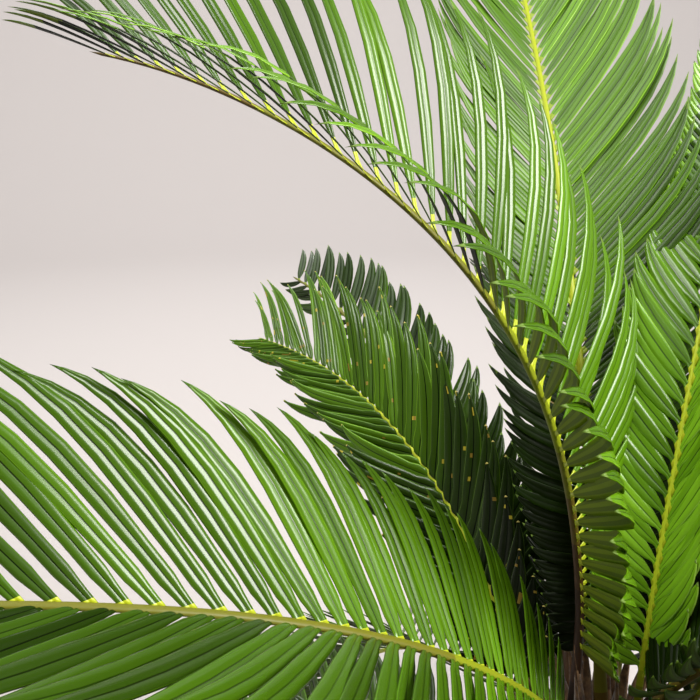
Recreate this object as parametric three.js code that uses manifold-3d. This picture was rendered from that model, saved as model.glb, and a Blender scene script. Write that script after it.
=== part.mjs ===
// Potted sago palm. Millimetres, +Z up, pot underside on z = 0, trunk axis on x = y = 0.
import * as THREE from 'three';
import Module from 'manifold-3d';

const wasm = await Module();
wasm.setup();

// Pot
const POT_HEIGHT = 190;
const POT_FOOT_R = 80;
const POT_BAND_Z = 160;
const POT_BAND_UNDER_R = 104;
const POT_BAND_R = 112;
const POT_RIM_R = 114;
const POT_FLOOR = 10;
const POT_INNER_FOOT_R = 73;
const POT_INNER_RIM_R = 103;
const RIM_EASE = 1.6;
const POT_SIDES = 48;

// Soil
const SOIL_EDGE_Z = 174;
const SOIL_CROWN_Z = 175.5;
const SOIL_SEAT_Z = 170;
const GAP = 0.35;

// Trunk, radius against height from its foot to the dome that carries the crown
const TRUNK_FOOT_Z = SOIL_SEAT_Z + GAP;
const TRUNK_PROFILE = [
  [54.0, TRUNK_FOOT_Z],
  [53.8, 184],
  [53.2, 202],
  [52.6, 222],
  [51.6, 245],
  [49.0, 261],
  [44.6, 275],
  [36.0, 286],
  [24.0, 293.5],
  [12.0, 297.5],
];
const TRUNK_TOP_Z = 298.5;
const TRUNK_SIDES = 36;

// Crown: the growing point that frond starts and seats are measured from
const CROWN_Z = 290;
const SEAT_R = [0, 15, 25, 35, 45];
const SEAT_RISE = [6, 4, 0, -7, -18];
const SEAT_DEPTH = 6;
const SOCKET_GAP = 0.35;

// Frond rule, shares of the frond length
const FOOT_SHARE = 0.14;
const BLADE_START = 0.09;
const STEPS = 84;
const LEAF_ANGLE_BASE = 80;
const LEAF_ANGLE_FALL = 58;
const LEAF_FORWARD = 7;
const VEE_BASE = 1.2;
const VEE_FALL = 0.35;
const LEAF_PITCH = 23.5;
const PITCH_U = [0, 0.12, 0.4, 0.8, 1];
const PITCH_SHARE = [0.6, 0.72, 1.0, 1.0, 0.8];
const LENGTH_U = [0, 0.12, 0.3, 0.55, 0.75, 0.9, 1];
const LENGTH_SHARE = [0.45, 0.76, 0.95, 1.0, 0.93, 0.75, 0.5];

// Leaf section
const LEAF_WIDTH = 13;
const LEAF_THICK = 1.6;
const LEAF_WIDEST = 0.4;
const LEAF_FILL = 0.85;
const LEAF_TWIST = 12;
const CLEARANCE = 0.5;
const SHORTER = [1, 0.82, 0.66, 0.5, 0.36];

// Rib section, width and thickness against the share of the frond length
const RIB_S = [0, 0.05, 0.14, 0.5, 0.85, 1];
const RIB_WIDTH = [10, 7, 5.2, 3.8, 2.4, 1.5];
const RIB_THICK = [8, 6.2, 4.8, 3.5, 2.2, 1.4];
const ROOT_SPAN = [5, 5, 4.4, 4.2, 3.4, 2.6];
const PETIOLE_STATIONS = [0, 0.035, 0.07];
const BODY_STATIONS = [0, 0.035, 0.07, 0.14, 0.22, 0.31, 0.4, 0.5, 0.6, 0.7, 0.8, 0.9, 1];

// One row a frond: azimuth, swing, rise at the foot, rise at the tip, bend power, length,
// roll at the foot, roll at the tip, vee, leaf length, start x y z, seat x y
const FRONDS = [
  [224.2, -62.0, 89.0, 10.0, 1.3, 381, 67.0, 9.9, 25.9, 106, -7.8, 15, 20, -14, 4],
  [215.9, -51.5, 69.9, -15.3, 0.61, 461, 23.6, 21.9, 26.5, 115, -6.1, -16.7, 9.6, -12, -17],
  [96.5, 0.1, 75.6, 36.5, 1.11, 511, 0.3, 0.2, 18.2, 106, 4, 13, 4.2, 4, 13],
  [55.8, 20.8, 89.0, 27.4, 0.78, 467, 1.5, 1.6, 35.8, 83, 14, 2, 4.1, 14, 2],
  [106.9, 23.4, 72.9, -0.4, 0.38, 373, 50.3, 50.3, 26.9, 77, -24, 16, -2.7, -24, 16],
  [104.3, 18.8, 66.5, 8.4, 0.39, 403, 14.8, 21.8, 28.9, 80, -18, 33, -9.8, -18, 33],
  [81.0, 17.1, 78.0, 4.1, 0.37, 415, -4.9, 18.3, 23.2, 79, -9, 28, -3.1, -9, 28],
  [332.2, -0.1, 57.6, 1.4, 0.99, 421, 0.1, 0, 28, 95, -10, -9, 14, 8, -13],
  [326, 6, 74, -40, 0.8, 420, 0, 0, 28, 93, 25, -19, -4.5, 25, -19],
  [348, -10, 78, 15, 1, 440, 0, 0, 27, 93, 24, -5, 0.2, 24, -5],
  [70, 6, 34, -50, 0.8, 440, 0, 0, 26, 94, 12, 33, -7.1, 12, 33],
  [36, -8, 42, -38, 0.8, 440, 0, 0, 26, 94, 28, 20, -6.6, 28, 20],
  [6, 6, 38, -34, 0.8, 450, 0, 0, 27, 95, 39, 5, -11.8, 39, 5],
  [300, 8, 30, -42, 0.8, 440, 0, 0, 27, 95, 19, -36, -13.3, 19, -36],
  [245, -6, 28, -44, 0.8, 440, 0, 0, 27, 95, -18, -36, -12.8, -18, -36],
  [273, -6, 26, -46, 0.8, 450, 0, 0, 27, 95, 1, -40, -12.5, 1, -40],
  [332, -6, 20, -48, 0.8, 440, 0, 0, 27, 95, 40, -22, -18, 40, -22],
  [206, 4, 14, -48, 0.8, 440, 0, 0, 27, 95, -37, -18, -13.8, -37, -18],
  [176, -4, 4, -58, 0.7, 420, 0, 0, 27, 95, -42, 3, -14.8, -42, 3],
  [148, 4, 0, -62, 0.7, 410, 0, 0, 27, 95, -37, 25, -17.6, -37, 25],
  [116, -4, 8, -60, 0.7, 400, 0, 0, 26, 94, -3, 44, -17, -3, 44],
];

const RAD = Math.PI / 180;

const add = (a, b) => [a[0] + b[0], a[1] + b[1], a[2] + b[2]];
const sub = (a, b) => [a[0] - b[0], a[1] - b[1], a[2] - b[2]];
const mul = (a, k) => [a[0] * k, a[1] * k, a[2] * k];
const dot = (a, b) => a[0] * b[0] + a[1] * b[1] + a[2] * b[2];
const cross = (a, b) => [
  a[1] * b[2] - a[2] * b[1],
  a[2] * b[0] - a[0] * b[2],
  a[0] * b[1] - a[1] * b[0],
];
const unit = (a) => mul(a, 1 / Math.hypot(a[0], a[1], a[2]));
const mix = (a, b, w) => add(mul(a, 1 - w), mul(b, w));

function lerpTable(x, xs, ys) {
  if (x <= xs[0]) return ys[0];
  for (let i = 1; i < xs.length; i++) {
    if (x <= xs[i]) return ys[i - 1] + ((ys[i] - ys[i - 1]) * (x - xs[i - 1])) / (xs[i] - xs[i - 1]);
  }
  return ys[ys.length - 1];
}

// Faces turned outward
function turnOut({ points, faces }) {
  let volume = 0;
  for (const [a, b, c] of faces) volume += dot(points[a], cross(points[b], points[c]));
  if (volume < 0) for (const f of faces) f.reverse();
  return { points, faces };
}

// Closed solid through a row of loops, ending in a cap or in a point
function loft(loops, tip) {
  const n = loops[0].length;
  const points = loops.flat();
  const faces = [];
  for (let k = 1; k < n - 1; k++) faces.push([0, k + 1, k]);
  for (let j = 0; j < loops.length - 1; j++) {
    for (let k = 0; k < n; k++) {
      const a = j * n + k;
      const b = j * n + ((k + 1) % n);
      faces.push([a, b, b + n], [a, b + n, a + n]);
    }
  }
  const last = (loops.length - 1) * n;
  if (tip) {
    points.push(tip);
    for (let k = 0; k < n; k++) faces.push([last + k, last + ((k + 1) % n), points.length - 1]);
  } else {
    for (let k = 1; k < n - 1; k++) faces.push([last, last + k, last + k + 1]);
  }
  return turnOut({ points, faces });
}

// Solid of revolution about Z from (radius, height) pairs; the axis ends are single points
function turned(profile, sides) {
  const points = [];
  const rings = profile.map(([r, z]) => {
    if (r === 0) {
      points.push([0, 0, z]);
      return [points.length - 1];
    }
    const ring = [];
    for (let k = 0; k < sides; k++) {
      const a = (2 * Math.PI * k) / sides;
      points.push([r * Math.cos(a), r * Math.sin(a), z]);
      ring.push(points.length - 1);
    }
    return ring;
  });
  const faces = [];
  for (let j = 0; j < rings.length - 1; j++) {
    const low = rings[j];
    const high = rings[j + 1];
    for (let k = 0; k < sides; k++) {
      const m = (k + 1) % sides;
      if (low.length > 1) faces.push([low[k], low[m], high[high.length > 1 ? m : 0]]);
      if (high.length > 1) faces.push([low[low.length > 1 ? k : 0], high[m], high[k]]);
    }
  }
  return { points, faces };
}

function toManifold({ points, faces }) {
  const mesh = new wasm.Mesh({
    numProp: 3,
    vertProperties: new Float32Array(points.flat()),
    triVerts: new Uint32Array(faces.flat()),
  });
  return new wasm.Manifold(mesh);
}

// Path of one frond with its tangent, sideways and upper directions
function frondPath(row) {
  const [azimuth, swing, riseFoot, riseTip, power, length, rollFoot, rollTip, , , x, y, z, seatX, seatY] = row;
  const start = [x, y, CROWN_Z + z];
  const seat = [seatX, seatY, CROWN_Z + lerpTable(Math.hypot(seatX, seatY), SEAT_R, SEAT_RISE)];
  const shift = sub(seat, start);
  const P = [];
  const T = [];
  const B = [];
  const N = [];
  let p = start;
  let before = null;
  for (let i = 0; i <= STEPS; i++) {
    const s = i / STEPS;
    const el = (riseFoot + (riseTip - riseFoot) * s ** power) * RAD;
    const az = (azimuth + swing * s ** 1.5) * RAD;
    const t = [Math.cos(el) * Math.cos(az), Math.cos(el) * Math.sin(az), Math.sin(el)];
    if (before) p = add(p, mul(add(before, t), (0.5 * length) / STEPS));
    before = t;
    const w = Math.max(0, 1 - s / FOOT_SHARE);
    P.push(add(p, mul(shift, w * w)));
    const t2 = unit(sub(t, mul(shift, (2 * w) / (FOOT_SHARE * length))));
    const b0 = [Math.sin(az), -Math.cos(az), 0];
    const b1 = unit(sub(b0, mul(t2, dot(b0, t2))));
    const n1 = cross(b1, t2);
    const roll = (rollFoot + (rollTip - rollFoot) * s) * RAD;
    T.push(t2);
    B.push(add(mul(b1, Math.cos(roll)), mul(n1, Math.sin(roll))));
    N.push(sub(mul(n1, Math.cos(roll)), mul(b1, Math.sin(roll))));
  }
  return (s) => {
    const k = Math.min(Math.max(s, 0) * STEPS, STEPS - 1e-9);
    const i = Math.floor(k);
    const w = k - i;
    return {
      p: mix(P[i], P[i + 1], w),
      t: unit(mix(T[i], T[i + 1], w)),
      b: unit(mix(B[i], B[i + 1], w)),
      n: unit(mix(N[i], N[i + 1], w)),
    };
  };
}

// Four corners of the rib, flat above and narrower below
function ribLoop(at, s, back, grow) {
  const { p, t, b, n } = at(s);
  const w = lerpTable(s, RIB_S, RIB_WIDTH) / 2 + grow;
  const h = lerpTable(s, RIB_S, RIB_THICK) / 2 + grow;
  const c = sub(p, mul(t, back));
  return [
    add(c, add(mul(b, -w), mul(n, h * 0.5))),
    add(c, add(mul(b, w), mul(n, h * 0.5))),
    add(c, add(mul(b, w * 0.6), mul(n, -h))),
    add(c, add(mul(b, -w * 0.6), mul(n, -h))),
  ];
}

function ribLoops(at) {
  return [ribLoop(at, 0, SEAT_DEPTH, 0), ...BODY_STATIONS.map((s) => ribLoop(at, s, 0, 0))];
}

// Outer points of one leaf, a flat upper face over a keel: edge below, edge above, keel and tip
function leafPoints(at, row, s, side, share) {
  const { p, t, b, n } = at(s);
  const u = (s - BLADE_START) / (1 - BLADE_START);
  const phi = LEAF_ANGLE_BASE - LEAF_ANGLE_FALL * Math.sqrt(u);
  const vee = row[8] * (VEE_BASE - VEE_FALL * u) * RAD;
  const across = add(mul(b, side * Math.cos(vee)), mul(n, Math.sin(vee)));
  const upper = sub(mul(n, Math.cos(vee)), mul(b, side * Math.sin(vee)));
  const dirAt = (angle) => add(mul(t, Math.cos(angle * RAD)), mul(across, Math.sin(angle * RAD)));
  const length = row[9] * lerpTable(u, LENGTH_U, LENGTH_SHARE);
  const flat = mul(cross(upper, dirAt(phi)), side);
  const w = add(mul(flat, Math.cos(LEAF_TWIST * RAD)), mul(upper, -Math.sin(LEAF_TWIST * RAD)));
  const m = add(mul(upper, Math.cos(LEAF_TWIST * RAD)), mul(flat, Math.sin(LEAF_TWIST * RAD)));
  const pitch = LEAF_PITCH * lerpTable(u, PITCH_U, PITCH_SHARE);
  const half = Math.min(LEAF_WIDTH, LEAF_FILL * pitch * Math.sin(phi * RAD)) / 2;
  const inner = length * LEAF_WIDEST * share;
  const middle = add(p, mul(dirAt(phi + LEAF_FORWARD), inner));
  const tip = add(middle, mul(dirAt(phi - LEAF_FORWARD * 0.6), length * share - inner));
  const thick = Math.max(LEAF_THICK * Math.min(1, length / 80), 1.1);
  return [sub(middle, mul(w, half)), add(middle, mul(w, half)), sub(middle, mul(m, thick)), tip];
}

// Rib stations below and above each pair of leaves
function rootSpan(s, length) {
  const reach = lerpTable(s, RIB_S, ROOT_SPAN) / 2 / length;
  return [s - reach, s + reach];
}

// Corners of the rib's side that a leaf grows from: the first two below, the last two above
function leafRoot(at, row, s, side) {
  const [below, above] = rootSpan(s, row[5]).map((q) => ribLoop(at, q, 0, 0));
  return side > 0 ? [below[1], below[2], above[2], above[1]] : [below[3], below[0], above[0], above[3]];
}

// One frond: the rib's skin, opened at each leaf root and carried out to the leaf's tip
function frondSolid(at, row, leaves) {
  const points = [];
  const faces = [];
  const put = (loop) => loop.map((q) => points.push(q) - 1);
  const skin = (low, high, open) => {
    for (let k = 0; k < 4; k++) {
      const m = (k + 1) % 4;
      const [a, b, c, d] = [low[k], low[m], high[m], high[k]];
      const found = open.find((leaf) => (leaf.side > 0 ? 1 : 3) === k);
      if (!found) {
        faces.push([a, b, c], [a, c, d]);
        continue;
      }
      const [e, f, g, tip] = put(found.points);
      if (k === 1) {
        faces.push([a, b, g], [a, g, e], [b, c, g], [c, d, f], [c, f, g], [d, a, e], [d, e, f]);
        faces.push([e, g, tip], [g, f, tip], [f, e, tip]);
      } else {
        faces.push([a, b, e], [a, e, g], [b, c, f], [b, f, e], [c, d, g], [c, g, f], [d, a, g]);
        faces.push([g, e, tip], [e, f, tip], [f, g, tip]);
      }
    }
  };
  let low = put(ribLoop(at, 0, SEAT_DEPTH, 0));
  faces.push([low[0], low[2], low[1]], [low[0], low[3], low[2]]);
  const step = (loop, open) => {
    const high = put(loop);
    skin(low, high, open);
    low = high;
  };
  for (const s of PETIOLE_STATIONS) step(ribLoop(at, s, 0, 0), []);
  for (const s of leafStations(row[5])) {
    const [below, above] = rootSpan(s, row[5]);
    step(ribLoop(at, below, 0, 0), []);
    step(ribLoop(at, above, 0, 0), leaves.filter((leaf) => leaf.s === s));
  }
  step(ribLoop(at, 1, 0, 0), []);
  const end = at(1);
  const tip = points.push(add(end.p, mul(end.t, 5))) - 1;
  for (let k = 0; k < 4; k++) faces.push([low[k], low[(k + 1) % 4], tip]);
  return turnOut({ points, faces });
}

// True when some direction keeps two sets of points the clearance apart
function apart(a, b) {
  const lo = [0, 1, 2].map((i) => Math.max(a.lo[i], b.lo[i]));
  const hi = [0, 1, 2].map((i) => Math.min(a.hi[i], b.hi[i]));
  if ([0, 1, 2].some((i) => lo[i] - hi[i] > CLEARANCE)) return true;
  const splits = (axis) => {
    const len = Math.hypot(axis[0], axis[1], axis[2]);
    if (len < 1e-9) return false;
    let a0 = Infinity;
    let a1 = -Infinity;
    let b0 = Infinity;
    let b1 = -Infinity;
    for (const q of a.points) {
      const v = dot(q, axis);
      a0 = Math.min(a0, v);
      a1 = Math.max(a1, v);
    }
    for (const q of b.points) {
      const v = dot(q, axis);
      b0 = Math.min(b0, v);
      b1 = Math.max(b1, v);
    }
    return Math.max(b0 - a1, a0 - b1) > CLEARANCE * len;
  };
  for (const axis of a.normals) if (splits(axis)) return true;
  for (const axis of b.normals) if (splits(axis)) return true;
  for (const e of a.edges) for (const f of b.edges) if (splits(cross(e, f))) return true;
  return false;
}

function convexBody({ points, faces }) {
  const normals = faces.map(([i, j, k]) => cross(sub(points[j], points[i]), sub(points[k], points[i])));
  const edges = [];
  for (const f of faces) {
    for (let k = 0; k < 3; k++) {
      const i = f[k];
      const j = f[(k + 1) % 3];
      if (i < j) edges.push(sub(points[j], points[i]));
    }
  }
  const lo = [0, 1, 2].map((i) => Math.min(...points.map((q) => q[i])));
  const hi = [0, 1, 2].map((i) => Math.max(...points.map((q) => q[i])));
  return { points, normals, edges, lo, hi };
}

function leafStations(length) {
  const out = [];
  let s = BLADE_START;
  while (s < 0.992) {
    out.push(s);
    const u = (s - BLADE_START) / (1 - BLADE_START);
    s += (LEAF_PITCH * lerpTable(u, PITCH_U, PITCH_SHARE)) / length;
  }
  return out;
}

const paths = FRONDS.map(frondPath);

const ribBodies = paths.map((at) => {
  const loops = ribLoops(at);
  return loops.slice(1).map((loop, j) => convexBody(loft([loops[j], loop])));
});

// A leaf that would touch another frond is shortened, or left out
const keptLeaves = FRONDS.map(() => []);
const leafBodies = FRONDS.map(() => []);
FRONDS.forEach((row, f) => {
  const clear = (body) => FRONDS.every((other, g) => {
    if (g === f) return true;
    return [...ribBodies[g], ...leafBodies[g]].every((piece) => apart(body, piece));
  });
  for (const s of leafStations(row[5])) {
    for (const side of [1, -1]) {
      const root = leafRoot(paths[f], row, s, side);
      for (const share of SHORTER) {
        const points = leafPoints(paths[f], row, s, side, share);
        const [e, f1, g, tip] = points;
        const body = convexBody(loft([[root[0], root[1], root[2], root[3]], [e, g, g, f1]], tip));
        if (clear(body)) {
          keptLeaves[f].push({ s, side, points });
          leafBodies[f].push(body);
          break;
        }
      }
    }
  }
});

const fronds = FRONDS.map((row, f) => toManifold(frondSolid(paths[f], row, keptLeaves[f])));

const potInner = (z) => POT_INNER_FOOT_R + ((POT_INNER_RIM_R - POT_INNER_FOOT_R) * (z - POT_FLOOR)) / (POT_HEIGHT - POT_FLOOR);

const pot = toManifold(turned([
  [0, 0],
  [POT_FOOT_R, 0],
  [POT_BAND_UNDER_R, POT_BAND_Z],
  [POT_BAND_R, POT_BAND_Z + 3],
  [POT_RIM_R, POT_HEIGHT - RIM_EASE],
  [POT_RIM_R - RIM_EASE, POT_HEIGHT],
  [POT_INNER_RIM_R + RIM_EASE, POT_HEIGHT],
  [POT_INNER_RIM_R, POT_HEIGHT - RIM_EASE],
  [POT_INNER_FOOT_R, POT_FLOOR],
  [0, POT_FLOOR],
], POT_SIDES));

const soil = toManifold(turned([
  [0, POT_FLOOR + GAP],
  [potInner(POT_FLOOR) - GAP, POT_FLOOR + GAP],
  [potInner(SOIL_EDGE_Z) - GAP, SOIL_EDGE_Z],
  [TRUNK_PROFILE[0][0] + GAP, SOIL_CROWN_Z],
  [TRUNK_PROFILE[0][0] + GAP, SOIL_SEAT_Z],
  [0, SOIL_SEAT_Z],
], POT_SIDES));

// Each frond stands in a socket of its own cut in the dome
const sockets = paths.map((at) => toManifold(loft([
  ribLoop(at, 0, SEAT_DEPTH + SOCKET_GAP, SOCKET_GAP),
  ribLoop(at, 0, 0, SOCKET_GAP),
  ribLoop(at, 0.035, 0, SOCKET_GAP),
  ribLoop(at, 0.07, 0, SOCKET_GAP),
])));
const trunk = toManifold(turned([[0, TRUNK_FOOT_Z], ...TRUNK_PROFILE, [0, TRUNK_TOP_Z]], TRUNK_SIDES))
  .subtract(wasm.Manifold.union(sockets));

const palm = new THREE.Group();
palm.name = 'potted_sago_palm';

function place(name, solid, color, roughness) {
  const { vertProperties, triVerts } = solid.getMesh();
  const geometry = new THREE.BufferGeometry();
  geometry.setAttribute('position', new THREE.BufferAttribute(new Float32Array(vertProperties), 3));
  geometry.setIndex(new THREE.BufferAttribute(new Uint32Array(triVerts), 1));
  geometry.computeVertexNormals();
  const mesh = new THREE.Mesh(geometry, new THREE.MeshStandardMaterial({ color, roughness }));
  mesh.name = name;
  palm.add(mesh);
}

place('pot', pot, 0x6e4436, 0.8);
place('soil', soil, 0x3a2b20, 0.95);
place('trunk', trunk, 0x5b4630, 0.9);
fronds.forEach((solid, f) => {
  place(`frond_${String(f + 1).padStart(2, '0')}`, solid, f % 2 ? 0x4f7f1e : 0x3f7224, 0.45);
});

export default palm;
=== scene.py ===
"""Potted sago palm: a full crown of stiff arching feather fronds on a stout scaly trunk, in a plain round pot.

Metres, +Z up, pot underside on z = 0, trunk axis on x = y = 0. Sizes in the tables are millimetres, as in the
part's source, and UNIT turns them into metres. The fronds follow the source's rule and are carried finer here.
"""

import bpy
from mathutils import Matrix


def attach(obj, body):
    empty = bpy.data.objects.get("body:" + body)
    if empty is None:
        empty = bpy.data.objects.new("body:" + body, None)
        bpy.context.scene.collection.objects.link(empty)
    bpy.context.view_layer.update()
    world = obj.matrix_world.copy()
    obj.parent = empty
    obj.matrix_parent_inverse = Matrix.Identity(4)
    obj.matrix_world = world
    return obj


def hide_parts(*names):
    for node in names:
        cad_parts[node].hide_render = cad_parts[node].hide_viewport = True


bl_info = {
    "name": "Potted Sago Palm",
    "version": (1, 0, 0),
    "blender": (4, 5, 0),
    "location": "View3D > Sidebar > Palm",
    "description": "Builds the fronds, trunk, pot and soil of a potted sago palm and its studio",
    "category": "Add Mesh",
}

import math

import bpy
import numpy as np

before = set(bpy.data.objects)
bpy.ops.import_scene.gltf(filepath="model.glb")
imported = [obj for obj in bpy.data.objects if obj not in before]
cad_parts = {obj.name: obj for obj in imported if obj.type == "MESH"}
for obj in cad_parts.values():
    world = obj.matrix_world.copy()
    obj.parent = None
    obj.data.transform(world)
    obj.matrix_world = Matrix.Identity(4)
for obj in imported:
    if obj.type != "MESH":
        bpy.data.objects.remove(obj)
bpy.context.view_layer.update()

UNIT = 0.001
BODY = "root"

# Pot
POT_HEIGHT = 190
POT_FOOT_R = 80
POT_BAND_Z = 160
POT_BAND_UNDER_R = 104
POT_BAND_R = 112
POT_RIM_R = 114
POT_FLOOR = 10
POT_INNER_FOOT_R = 73
POT_INNER_RIM_R = 103
POT_BAND_STEP = 3
POT_SIDES = 128
POT_SHADE = 0.62

# Soil
SOIL_EDGE_Z = 174
SOIL_CROWN_Z = 175.5
SOIL_WALL_GAP = 0.35
SOIL_FLOOR_GAP = 0.4
SOIL_FADE = 6
SOIL_SIDES = 180
SOIL_RINGS = 46

# Trunk: its profile gives distance from the axis and height
TRUNK_FOOT_Z = 170.35
TRUNK_PROFILE = [
    (54, 170.35), (53.8, 184), (53.2, 202), (52.6, 222), (51.6, 245), (49, 261),
    (44.6, 275), (36, 286), (24, 293.5), (12, 297.5), (0, 298.5),
]
TRUNK_TOP_SUNK = 3
TRUNK_SIDES = 180
TRUNK_RINGS = 90
BARK_SUNK = 4
GOLDEN = math.radians(137.508)

# Waves that push a surface about: height, pitch and seed of each
SOIL_WAVES = [(1.6, 17, 5), (0.9, 6, 6)]
BARK_WAVES = [(1.3, 20, 11), (0.5, 5, 12)]

# Loose lumps on the soil
CRUMB_SEED = 41
CRUMB_SIZE = (1.0, 2.6)
CRUMB_BIG_SHARE = 0.12
CRUMB_BIG = 1.6
CRUMB_PALE_SHARE = 0.07
CRUMB_INNER = 0.3
CRUMB_EDGE_GAP = 4
CRUMB_UP = 0.9
CRUMB_LEVELS = [-60, -20, 20, 60]
CRUMB_SIDES = 7
CRUMB_SQUASH = ([0.8, 0.8, 0.45], [1.3, 1.3, 0.8])
CRUMB_JAG = 0.18

# Old leaf bases: where they start and end along the trunk, width by distance from the axis, ranges of chance, and
# the width, upward shift and height of a stump's rings as shares of its own width, height and reach
TRUNK_SEED = 23
BASE_FIRST = 7
BASE_LAST_SHARE = 0.9
BASE_PROBE = 2
BASE_WIDE = ([0, 30, 54], [6, 8.5, 11.5])
BASE_WIDE_RANGE = (0.88, 1.08)
BASE_HIGH_RANGE = (0.56, 0.68)
BASE_REACH_RANGE = (3.6, 5.6)
BASE_SIDES = 8
BASE_POWER = 1.35
BASE_JAG = 0.05
BASE_SHARE = np.array([1.02, 0.98, 0.8, 0.66])
BASE_SHIFT = np.array([-0.1, 0.05, 0.42, 0.46])
BASE_STAND = np.array([-0.9, 0.35, 1.0, 0.94])
BASE_TIP_STAND = 0.72
BASE_BANDS = [0, 0, 1]

# Woolly scales of the crown: lean in degrees and length by distance from the axis, and the taper along a scale
SCALE_FIRST_R = 4
SCALE_BAND = 43
SCALE_SUNK = 2
SCALE_LEAN = ([0, 47], [3, 42])
SCALE_LEAN_SPREAD = 5
SCALE_LONG = ([0, 20, 32, 47], [50, 46, 34, 20])
SCALE_LONG_RANGE = (0.75, 1.1)
SCALE_WIDE_RANGE = (3.4, 5.2)
SCALE_THICK = 0.4
SCALE_SIDES = 6
SCALE_V = np.array([0, 0.25, 0.5, 0.75, 0.92])
SCALE_TAPER = np.array([1.0, 0.9, 0.66, 0.36, 0.14])
SCALE_BOW = 0.55 + 0.9 * SCALE_V

# Crown and frond rule, shares of the frond length
CROWN_Z = 290
SEAT_R = [0, 15, 25, 35, 45]
SEAT_RISE = [6, 4, 0, -7, -18]
SEAT_DEPTH = 6
FOOT_SHARE = 0.14
SWING_POWER = 1.5
BLADE_START = 0.09
BLADE_END = 0.994
STEPS = 84
ROW_SHIFT = (0.15, 0.6)
LEAF_ANGLE_BASE = 80
LEAF_ANGLE_FALL = 58
VEE_BASE = 1.2
VEE_FALL = 0.35
LEAF_PITCH = 11.75
PITCH_U = [0, 0.12, 0.4, 0.8, 1]
PITCH_SHARE = [0.6, 0.72, 1.0, 1.0, 0.8]
LENGTH_U = [0, 0.12, 0.3, 0.55, 0.75, 0.9, 1]
LENGTH_SHARE = [0.45, 0.76, 0.95, 1.0, 0.93, 0.75, 0.5]
RIB_S = [0, 0.05, 0.14, 0.5, 0.85, 1]
RIB_WIDTH = [10, 7, 5.2, 3.8, 2.4, 1.5]
RIB_THICK = [8, 6.2, 4.8, 3.5, 2.2, 1.4]
RIB_SIDES = 12
RIB_RINGS = 66
RIB_UPPER = 0.62
RIB_LOWER = 0.98
RIB_POINT = 5
RAMP_S = [0, 0.14, 0.4, 1]

# One row a frond: azimuth, swing, rise at the foot, rise at the tip, bend power, length,
# roll at the foot, roll at the tip, vee, leaf length, start x y z, seat x y
FRONDS = [
    [224.2, -62.0, 89.0, 10.0, 1.3, 381, 67.0, 9.9, 25.9, 106, -7.8, 15, 20, -14, 4],
    [215.9, -51.5, 69.9, -15.3, 0.61, 461, 23.6, 21.9, 26.5, 115, -6.1, -16.7, 9.6, -12, -17],
    [96.5, 0.1, 75.6, 36.5, 1.11, 511, 0.3, 0.2, 18.2, 106, 4, 13, 4.2, 4, 13],
    [55.8, 20.8, 89.0, 27.4, 0.78, 467, 1.5, 1.6, 35.8, 83, 14, 2, 4.1, 14, 2],
    [106.9, 23.4, 72.9, -0.4, 0.38, 373, 50.3, 50.3, 26.9, 77, -24, 16, -2.7, -24, 16],
    [104.3, 18.8, 66.5, 8.4, 0.39, 403, 14.8, 21.8, 28.9, 80, -18, 33, -9.8, -18, 33],
    [81.0, 17.1, 78.0, 4.1, 0.37, 415, -4.9, 18.3, 23.2, 79, -9, 28, -3.1, -9, 28],
    [332.2, -0.1, 57.6, 1.4, 0.99, 421, 0.1, 0, 28, 95, -10, -9, 14, 8, -13],
    [326, 6, 74, -40, 0.8, 420, 0, 0, 28, 93, 25, -19, -4.5, 25, -19],
    [348, -10, 78, 15, 1, 440, 0, 0, 27, 93, 24, -5, 0.2, 24, -5],
    [70, 6, 34, -50, 0.8, 440, 0, 0, 26, 94, 12, 33, -7.1, 12, 33],
    [36, -8, 42, -38, 0.8, 440, 0, 0, 26, 94, 28, 20, -6.6, 28, 20],
    [6, 6, 38, -34, 0.8, 450, 0, 0, 27, 95, 39, 5, -11.8, 39, 5],
    [300, 8, 30, -42, 0.8, 440, 0, 0, 27, 95, 19, -36, -13.3, 19, -36],
    [245, -6, 28, -44, 0.8, 440, 0, 0, 27, 95, -18, -36, -12.8, -18, -36],
    [273, -6, 26, -46, 0.8, 450, 0, 0, 27, 95, 1, -40, -12.5, 1, -40],
    [332, -6, 20, -48, 0.8, 440, 0, 0, 27, 95, 40, -22, -18, 40, -22],
    [206, 4, 14, -48, 0.8, 440, 0, 0, 27, 95, -37, -18, -13.8, -37, -18],
    [176, -4, 4, -58, 0.7, 420, 0, 0, 27, 95, -42, 3, -14.8, -42, 3],
    [148, 4, 0, -62, 0.7, 410, 0, 0, 27, 95, -37, 25, -17.6, -37, 25],
    [116, -4, 8, -60, 0.7, 400, 0, 0, 26, 94, -3, 44, -17, -3, 44],
]

# Leaflet along its length: stations, half width as a share, what a waist adds to it, how far the width has turned
# off the rib, and where a hooked leaflet is broader
LEAF_V = np.array([0, 0.012, 0.03, 0.055, 0.1, 0.2, 0.36, 0.53, 0.68, 0.8, 0.89, 0.955])
LEAF_HALF = np.array([1.15, 0.46, 0.3, 0.34, 0.55, 0.82, 1.0, 0.98, 0.87, 0.66, 0.43, 0.2])
LEAF_WAIST = np.array([-0.5, 0.2, 1, 1, 0.55, 0, 0, 0, 0, 0, 0, 0.0])
LEAF_TURN = np.array([0, 0.55, 0.9, 1, 1, 1, 1, 1, 1, 1, 1, 1.0])
LEAF_HOOK = np.array([0, 0, 0, 0, 0, 0, 0, 0.3, 0.8, 1, 1, 1.0])
LEAF_HALF_MOST = 3.9
LEAF_CROWD = 0.48
LEAF_OVERLAP = 0.5
LEAF_AHEAD = 5
LEAF_THIN = 0.4
LEAF_SEED = 100
ROOT_ASIDE = 0.62
ROOT_UP = 0.1

# How much leaflets differ by chance: a share of the length, and degrees of the other figures
SPREAD = dict(length=0.025, angle=1, vee=1.6, curl=1.5, bend=2, twist=3)

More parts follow.
